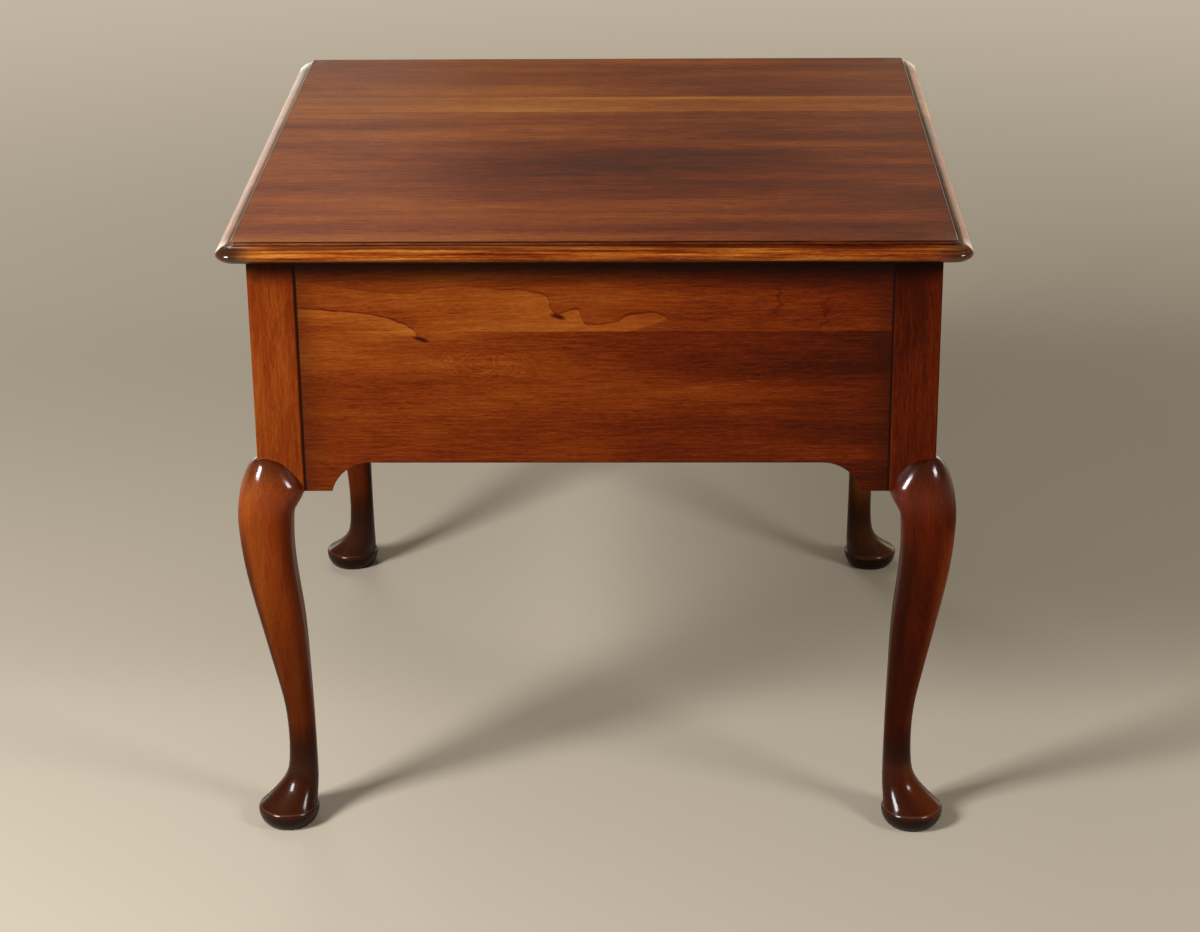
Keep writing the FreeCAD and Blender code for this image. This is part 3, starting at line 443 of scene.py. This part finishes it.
def sawn_contour(wood, spot, contour, light, fade):
    """A dark line along a contour of the board, and paler wood below it that fades out."""
    span = CONTOUR_HIGH - CONTOUR_LOW
    inputs = {"Value": wood.part(spot, "X"), "From Min": -post_inner, "From Max": post_inner}
    points = [((x + post_inner) / (2 * post_inner), (z - CONTOUR_LOW) / span) for x, z in contour]
    level = wood.weighted((wood.curve(wood.node("MapRange", inputs), points), span), (1, CONTOUR_LOW))
    below = wood.math("SUBTRACT", level, wood.part(spot, "Z"))
    pale = wood.ridge(below, -0.0004, 0.0012, 0.002, fade)
    line = wood.ridge(below, -0.0025, -0.0004, 0, 0.0008)
    return wood.weighted((pale, light), (line, -0.13))


def small_mark(wood, ripple, middle, slant, width, height, sway):
    """1 in the middle of a small slanting mark, and 0 off it."""
    x, z = middle
    spot = wood.sum(wood.place((x, 0, z), (0, slant, 0)), wood.stretched(ripple, (sway, 0, 0.004)))
    offset = wood.length(wood.stretched(spot, (1 / width, 0, 1 / height)))
    return wood.band(offset, 1.3, 0.3)


def eye(wood, ripple, x, z, reach):
    """Fine rings round a small knot."""
    swirl = wood.sum(wood.place((x, 0, z)), wood.stretched(ripple, (0.03, 0, 0.014)))
    offset = wood.length(wood.stretched(swirl, (0.6, 0, 1.2)))
    near = wood.band(offset, reach, 0)
    return wood.weighted((near, 0.07), (wood.times(wood.year(offset, EYE_PITCH), near), -0.16))


def back_apron_figure(wood):
    """The back's own grain: two contours of its upper board, pitch marks, curls and eyes."""
    ripple = wood.drift(wood.place(), (60, 60, 120))
    spot = wood.sum(wood.place(), wood.stretched(ripple, (0.006, 0, 0.004)))
    run = wood.part(spot, "X")
    height = wood.part(spot, "Z")
    upper = wood.band(height, GLUE_LINE - 0.012, GLUE_LINE)
    crisp = wood.weighted((wood.band(run, -0.11, -0.045), 0.7), (1, 0.3))
    rise = wood.times(wood.most(wood.math("SUBTRACT", run, 0.03), 0), 0.33)
    tongue = wood.band(wood.math("SUBTRACT", height, rise), GLUE_LINE - 0.002, GLUE_LINE)
    low_end = wood.band(run, -0.148, -0.166)
    shift = wood.weighted(
        (apron_tone_and_shade("X")(wood), 1),
        (sawn_contour(wood, spot, HIGH_CONTOUR, light=0.13, fade=0.2), wood.times(crisp, tongue, upper)),
        (sawn_contour(wood, spot, LOW_CONTOUR, light=0.18, fade=0.028), wood.times(low_end, upper)),
    )
    for middle in PITCH_MARKS:
        pitch_mark = small_mark(wood, ripple, middle, slant=0.3, width=0.0077, height=0.0022, sway=0.006)
        shift = wood.weighted((shift, 1), (pitch_mark, -0.45))
    for middle in CURLS:
        curl = small_mark(wood, ripple, middle, slant=0.15, width=0.0028, height=0.02, sway=0.03)
        shift = wood.weighted((shift, 1), (curl, -0.09))
    for x, z, reach in EYES:
        shift = wood.math("ADD", shift, eye(wood, ripple, x, z, reach))
    return shift


def apron_cherry(apron, turn, along, middle, upper_rings, tint_light_and_shade):
    return cherry(
        apron + "_cherry", turn, middle, pith=(0.012, 0.03), pitch=0.034, rings=0.03, clouds=0.43,
        streaks=0.25, joins=((GLUE_LINE - middle[2], upper_rings),), shade=-0.06, cast=(1, 1.05, 0.9, 1),
        tint_light_and_shade=tint_light_and_shade, glaze_and_shade=apron_glaze_and_shade(along),
    )


BACK_GRAIN_START = 0.11
SIDE_GRAIN_STARTS = {"left_apron": 0.4, "right_apron": 1.3}
apron_middle = (apron_low.z + apron_high.z) / 2
dress("back_apron", apron_cherry(
    "back_apron", GRAIN_ALONG_BACK, "X", (BACK_GRAIN_START, apron_low.y, apron_middle), upper_rings=0.03,
    tint_light_and_shade=back_apron_figure,
))
for apron, grain_start in SIDE_GRAIN_STARTS.items():
    middle = (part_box(apron)[1].x, grain_start, apron_middle)
    dress(apron, apron_cherry(
        apron, GRAIN_ALONG_SIDE, "Y", middle, upper_rings=0.2, tint_light_and_shade=apron_tone_and_shade("Y"),
    ))

# Rails of the drawer opening
# A flat rail is dovetailed into the tops of the front posts over the drawer, and a shaped rail is
# tenoned into them below it. Both are cherry.
RAIL_GRAIN_STARTS = {"front_top_rail": 0.3, "front_bottom_rail": 1.3}
for rail, grain_start in RAIL_GRAIN_STARTS.items():
    low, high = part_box(rail)
    middle = (grain_start, high.y, (low.z + high.z) / 2)
    dress(rail, cherry(rail + "_cherry", GRAIN_ALONG_BACK, middle, glaze_and_shade=apron_glaze_and_shade("X")))

# Inner strips and blocks
# Runners, guides, kickers, corner blocks and drawer stops are plain poplar, planed and left bare,
# glued and screwed inside the aprons.
GRAIN_ALONG_STRIP = (0, 0, QUARTER_TURN)
POPLAR_TONES = (
    (0.25, (0.33, 0.245, 0.14)),
    (0.5, (0.54, 0.42, 0.265)),
    (0.75, (0.66, 0.545, 0.37)),
)
POPLAR_PITH = (0, 0.03, 0.11)
POPLAR_PITCH = 0.007
POPLAR_WANDER = (0, 0.03, 0.03)
POPLAR_FIBRE_DEPTH = 0.00008
STRIP_GRAIN_STEP = (-0.2, 0.5)


def poplar(name, turn, centre):
    """Bare poplar, pale with a green cast."""
    wood = Finish(name)
    spot = wood.place(centre, turn)
    grown = wood.sum(spot, wood.stretched(wood.drift(spot, (2, 9, 9)), POPLAR_WANDER))
    from_pith = wood.length(wood.stretched(wood.sum(grown, POPLAR_PITH), (0, 1, 1)))
    streak = wood.noise(grown, (1.5, 40, 40), detail=3)
    fibre = wood.noise(grown, (25, 800, 800))
    tone = wood.weighted((streak, 0.7), (fibre, 0.4), (wood.year(from_pith, POPLAR_PITCH), -0.15))
    wood.surface({
        "Base Color": wood.ramp(tone, POPLAR_TONES),
        "Roughness": 0.62,
        "Normal": wood.bump(fibre, POPLAR_FIBRE_DEPTH),
    })
    return wood.material


for side in ("left", "right"):
    for number, strip in enumerate(("runner", "guide", "kicker", "corner_block", "drawer_stop")):
        node = f"{side}_{strip}"
        low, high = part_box(node)
        centre = (low.x + STRIP_GRAIN_STEP[0] * number, STRIP_GRAIN_STEP[1] * number, high.z)
        dress(node, poplar(node + "_poplar", GRAIN_ALONG_STRIP, centre))

# Screws
# Plain steel wood screws with countersunk heads hold the top, the strips, the corner blocks and the
# drawer bottom.
STEEL_TONES = ((0.3, (0.30, 0.30, 0.31)), (0.7, (0.52, 0.52, 0.53)))


def metal(name, tones, swells, detail, roughness, change):
    """Bare metal whose fine mottle, of so many swells to the metre, changes its tone and roughness."""
    bare = Finish(name)
    mottle = bare.noise(bare.place(), (swells, swells, swells), detail)
    bare.surface({
        "Base Color": bare.ramp(mottle, tones),
        "Roughness": bare.weighted((mottle, change), (1, roughness)),
        "Metallic": 1,
    })
    return bare.material


steel = metal("screw_steel", STEEL_TONES, swells=400, detail=4, roughness=0.22, change=0.3)
for node in ("top_screws", "rail_screws", "corner_block_screws", "drawer_bottom_screws"):
    dress(node, steel)

# Top
# The top is glued up from cherry boards, with the grain along the back, and its edge is moulded all
# round. It is screwed on from below, glaze is left dark in the quirk of the moulding, and painted shade
# and a painted dark reflection darken the quirk, the arris of the step and the underside of the nose.
PALE_BOARD = (0.107, 0.167)
DARK_PATCH = (0.01, -0.11, 0)
TOP_GRAIN_START = 0.2
STEP_INSET = 0.0143
STEP_DROP = 0.0032
half_top = top_high.x
ledge_level = top_high.z - STEP_DROP


def top_reach(wood):
    """How far a place on the top lies outside the step of its moulding."""
    spot = wood.place()
    farther = wood.most(wood.off_middle(spot, "X"), wood.off_middle(spot, "Y"))
    return wood.math("SUBTRACT", farther, half_top - STEP_INSET)


def top_ledge(wood):
    """1 in the quirk outside the step, and fading on the ledge beyond it."""
    return wood.ridge(top_reach(wood), -0.0004, 0.0004, 0.0045, 0.0085)


def top_corner(wood):
    """Rises from 0 to 1 towards the four corners of the moulding."""
    spot = wood.place()
    nearer = wood.math("MINIMUM", wood.off_middle(spot, "X"), wood.off_middle(spot, "Y"))
    return wood.band(nearer, half_top - 0.045, half_top - 0.015)


def top_ends(wood):
    """1 on the moulding along the two ends of the boards."""
    return wood.band(wood.off_middle(wood.place(), "X"), half_top - 0.012, half_top - 0.008)


def top_underside(wood):
    """Rises from 0 to 1 down the lower round of the nose."""
    return wood.band(wood.part(wood.place(), "Z"), top_low.z + 0.0062, top_low.z + 0.0012)


def top_gloss(wood):
    """Satin, polished by hands at the corners, and dull below and in the moulding along the boards."""
    dull = wood.times(top_ledge(wood), wood.math("SUBTRACT", 1, top_ends(wood)))
    return wood.weighted((top_corner(wood), 0.68), (dull, -0.26), (top_underside(wood), -0.28), (1, 0.32))


def top_glaze_and_shade(wood):
    """Glaze with painted shade in the quirk of the step, glaze on the ledge and the corners, a painted
    dark reflection on the arris of the step, and painted shade down the underside of the nose.
    """
    spot = wood.place()
    height = wood.part(spot, "Z")
    reach = top_reach(wood)
    ends = top_ends(wood)
    right_half = wood.band(wood.part(spot, "X"), 0.1, -0.1)
    below_step = wood.band(height, ledge_level + 0.0012, ledge_level + 0.0004)
    # Glaze with painted shade in the quirk.
    quirk = wood.ridge(reach, -0.0004, 0.0004, 0.0012, 0.0026)
    quirk_depth = wood.weighted((wood.times(ends, right_half), -0.7), (1, 0.92))
    ledge_depth = wood.weighted((ends, -0.3), (1, 0.5))
    near_surface = wood.band(height, top_high.z - 0.0018, top_high.z - 0.0006)
    # A painted dark reflection along the arris of the step.
    arris = wood.times(wood.band(reach, -0.0022, -0.0012), near_surface)
    broken = wood.band(wood.noise(spot, (9, 9, 9)), 0.2, 0.45)
    corner = wood.times(top_corner(wood), wood.band(reach, 0, 0.001))
    corner_depth = wood.weighted((right_half, 0.28), (1, 0.64))
    return wood.most(
        wood.times(quirk, quirk_depth, below_step), wood.times(top_ledge(wood), ledge_depth, below_step),
        wood.times(arris, broken, 0.95), wood.times(corner, corner_depth),
        # Painted shade down the underside of the nose.
        wood.times(top_underside(wood), 0.94),
    )


def top_step_highlight(wood):
    """A painted highlight on the moulding beside the quirk along the two ends."""
    beside = wood.ridge(top_reach(wood), 0.0018, 0.003, 0.004, 0.0052)
    return wood.times(beside, top_ends(wood), 0.35)


def top_tint(wood):
    """A paler board, a darker middle and left, and a nose that is rubbed through in streaks."""
    spot = wood.place()
    run = wood.part(spot, "X")
    across = wood.part(spot, "Y")
    start, stop = PALE_BOARD
    board = wood.ridge(across, start, start + 0.0006, stop, stop + 0.0006)
    board = wood.times(board, wood.weighted((wood.band(run, -0.3, -0.02), 0.6), (1, 0.4)))
    bright = wood.times(wood.band(across, stop - 0.012, stop - 0.003), wood.band(run, -0.2, 0), board)
    glue = wood.most(*(wood.band(wood.gap(across, join), 0.0014, 0.0004) for join in PALE_BOARD))
    from_patch = wood.length(wood.stretched(wood.place(DARK_PATCH), (3.4, 7, 0)))
    from_patch = wood.weighted((from_patch, 1), (wood.noise(spot, (4, 16, 16)), 0.9))
    patch = wood.band(from_patch, 1.5, 0.5)
    left = wood.band(run, -0.2, 0.3)
    front_left = wood.times(wood.band(across, -0.05, 0.25), wood.band(run, -0.28, 0))
    nose = wood.band(top_reach(wood), 0.001, 0.003)
    nose_streaks = wood.times(nose, wood.math("SUBTRACT", wood.noise(spot, (8, 8, 620), detail=3), 0.5))
    return wood.weighted(
        (board, 0.21), (bright, 0.1), (glue, -0.1), (patch, -0.16), (left, -0.12), (front_left, 0.09),
        (nose, 0.07), (nose_streaks, 1.4), (wood.times(nose, run), 0.22),
    )


dress("table_top", cherry(
    "table_top_cherry", (0, 0, 0), (TOP_GRAIN_START, 0, top_high.z), pith=(0.02, 0.11), clouds=0.5,
    sway=0.5, streaks=0.37, joins=tuple((join, 0.03) for join in PALE_BOARD), shade=-0.04,
    cast=(1, 1.15, 0.9, 1), tint_light_and_shade=top_tint, glaze_and_shade=top_glaze_and_shade, painted_highlight=top_step_highlight, gloss=top_gloss, haze=0.1,
))

# Drawer
# The box is poplar, dovetailed at all four corners, with a thin bottom in grooves, and the lipped
# front is one cherry board.
DRAWER_GRAINS = {
    "drawer_left_side": (GRAIN_ALONG_SIDE, (0, 0.4, 0)),
    "drawer_right_side": (GRAIN_ALONG_SIDE, (0.3, 0.4, 0)),
    "drawer_back": (GRAIN_ALONG_BACK, (0.6, 0.4, 0)),
    "drawer_bottom": ((0, 0, 0), (0.9, 0.4, 0)),
}
FRONT_GRAIN_START = 0.6
for node, (turn, grain_shift) in DRAWER_GRAINS.items():
    dress(node, poplar(node + "_poplar", turn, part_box(node)[1] + Vector(grain_shift)))
front_low, front_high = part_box("drawer_front")


def drawer_glaze(wood):
    """Dark towards the rounded edges of the front."""
    spot = wood.place()
    height = wood.part(spot, "Z")
    end = wood.band(wood.off_middle(spot, "X"), front_high.x - 0.03, front_high.x)
    upper = wood.band(height, front_high.z - 0.024, front_high.z)
    lower = wood.band(height, front_low.z + 0.02, front_low.z)
    return wood.times(wood.most(end, upper, lower), 0.6)


dress("drawer_front", cherry(
    "drawer_front_cherry", GRAIN_ALONG_BACK,
    (FRONT_GRAIN_START, front_high.y, (front_low.z + front_high.z) / 2),
    pith=(-0.02, 0.03), pitch=0.034, rings=0.18, glaze_and_shade=drawer_glaze,
))

# Pulls
# Two bail pulls in aged brass: each bail hangs between turned posts that pass through rosettes and
# the drawer front, and are held inside by nuts.
BRASS_TONES = ((0.3, (0.20, 0.115, 0.035)), (0.55, (0.50, 0.32, 0.10)), (0.75, (0.66, 0.45, 0.16)))
brass = metal("aged_brass", BRASS_TONES, swells=160, detail=5, roughness=0.48, change=-0.35)
for node in ("pull_posts", "pull_rosettes", "pull_nuts", "left_bail", "right_bail"):
    dress(node, brass)

# Studio
# A pale floor curves up far away to a backdrop. Two softboxes stand before the plain back and a high
# one on the drawer's side, with two wide cards that light the table alone. The camera looks down at
# the plain back from a little right of the middle.
FLOOR_REACH = 28
BACKDROP_RISE = 5
COVE = 3
FLOOR_COLOUR = (0.44, 0.385, 0.313, 1)
BOUNCE_COLOUR = (0.28, 0.22, 0.16, 1)
FAR_GLOW = 0.85
FAR_START = 0.9
FAR_FULL = 4
studio_shape = bmesh.new()
bmesh.ops.create_circle(studio_shape, cap_ends=True, radius=FLOOR_REACH, segments=128)
rim = [edge for edge in studio_shape.edges if edge.is_boundary]
raised = bmesh.ops.extrude_edge_only(studio_shape, edges=rim)["geom"]
raised = [corner for corner in raised if isinstance(corner, bmesh.types.BMVert)]
bmesh.ops.translate(studio_shape, vec=(0, 0, BACKDROP_RISE), verts=raised)
bmesh.ops.bevel(studio_shape, geom=rim, offset=COVE, affect="EDGES", segments=8, profile=0.5, material=-1)
floor_mesh = bpy.data.meshes.new("floor")
studio_shape.to_mesh(floor_mesh)
studio_shape.free()
floor = bpy.data.objects.new("floor", floor_mesh)
bpy.context.scene.collection.objects.link(floor)

pale = Finish("pale_floor")
ray = pale.tree.nodes.new("ShaderNodeLightPath").outputs
seen = pale.most(ray["Is Camera Ray"], ray["Is Glossy Ray"], ray["Is Transmission Ray"])
far = pale.band(pale.length(pale.place()), FAR_START, FAR_FULL)
pale.surface({
    "Base Color": pale.mixed(seen, BOUNCE_COLOUR, FLOOR_COLOUR),
    "Roughness": 0.8,
    "Specular IOR Level": 0.1,
    "Emission Color": FLOOR_COLOUR,
    "Emission Strength": pale.times(seen, far, FAR_GLOW),
})
pale.material.cycles.emission_sampling = "NONE"
floor_mesh.materials.append(pale.material)

shaded = bpy.data.collections.new("not_lit_by_cards")
shaded.objects.link(floor)
shaded.collection_objects[0].light_linking.link_state = "EXCLUDE"


def softbox(name, place, target, width, height, power, colour=(1, 1, 1)):
    """A rectangular lamp that faces a target and isn't seen itself."""
    lamp = bpy.data.lights.new(name, "AREA")
    lamp.shape = "RECTANGLE"
    lamp.size = width
    lamp.size_y = height
    lamp.energy = power
    lamp.color = colour
    made = bpy.data.objects.new(name, lamp)
    made.location = place
    made.rotation_euler = (Vector(target) - Vector(place)).to_track_quat("-Z", "Y").to_euler()
    made.visible_camera = False
    bpy.context.scene.collection.objects.link(made)
    return made


TABLE_MIDDLE = (0, 0, 0.45)
CARDS = {"left_card": (-1, 18, (1, 0.95, 0.82)), "right_card": (1, 12, (1, 0.8, 0.6))}
softbox("left_softbox", (-1.65, -1.45, 1.65), TABLE_MIDDLE, width=0.6, height=0.8, power=84)
softbox("right_softbox", (2.05, -1.55, 1.9), TABLE_MIDDLE, width=0.72, height=0.5, power=33)
for name, (side, power, colour) in CARDS.items():
    card = softbox(
        name, (1.6 * side, 3.4, 0.7), (0.3 * side, 0, 0.6), width=2.4, height=1.16, power=power,
        colour=colour,
    )
    card.light_linking.receiver_collection = shaded
softbox("high_softbox", (-0.9, 2.5, 3.0), TABLE_MIDDLE, width=1.3, height=1.3, power=22)

WORLD_COLOUR = (0.98, 0.90, 0.64, 1)
WORLD_STRENGTH = 0.22
world = bpy.data.worlds.new("studio")
world.use_nodes = True
background = world.node_tree.nodes["Background"].inputs
background["Color"].default_value = WORLD_COLOUR
background["Strength"].default_value = WORLD_STRENGTH
bpy.context.scene.world = world
bpy.context.scene.view_settings.view_transform = "Standard"

LENS = 84.8
SENSOR_WIDTH = 36
CAMERA_PLACE = Vector((0.0661, -2.7724, 1.4047))
CAMERA_PITCH = 0.3938
CAMERA_YAW = -0.0253
CAMERA_ROLL = -0.010
camera = bpy.data.cameras.new("camera")
camera.lens = LENS
camera.sensor_width = SENSOR_WIDTH
view = bpy.data.objects.new("camera", camera)
aim = Matrix.Rotation(-CAMERA_YAW, 4, "Z") @ Matrix.Rotation(QUARTER_TURN - CAMERA_PITCH, 4, "X")
view.matrix_world = Matrix.Translation(CAMERA_PLACE) @ aim @ Matrix.Rotation(CAMERA_ROLL, 4, "Z")
bpy.context.scene.collection.objects.link(view)
bpy.context.scene.camera = view
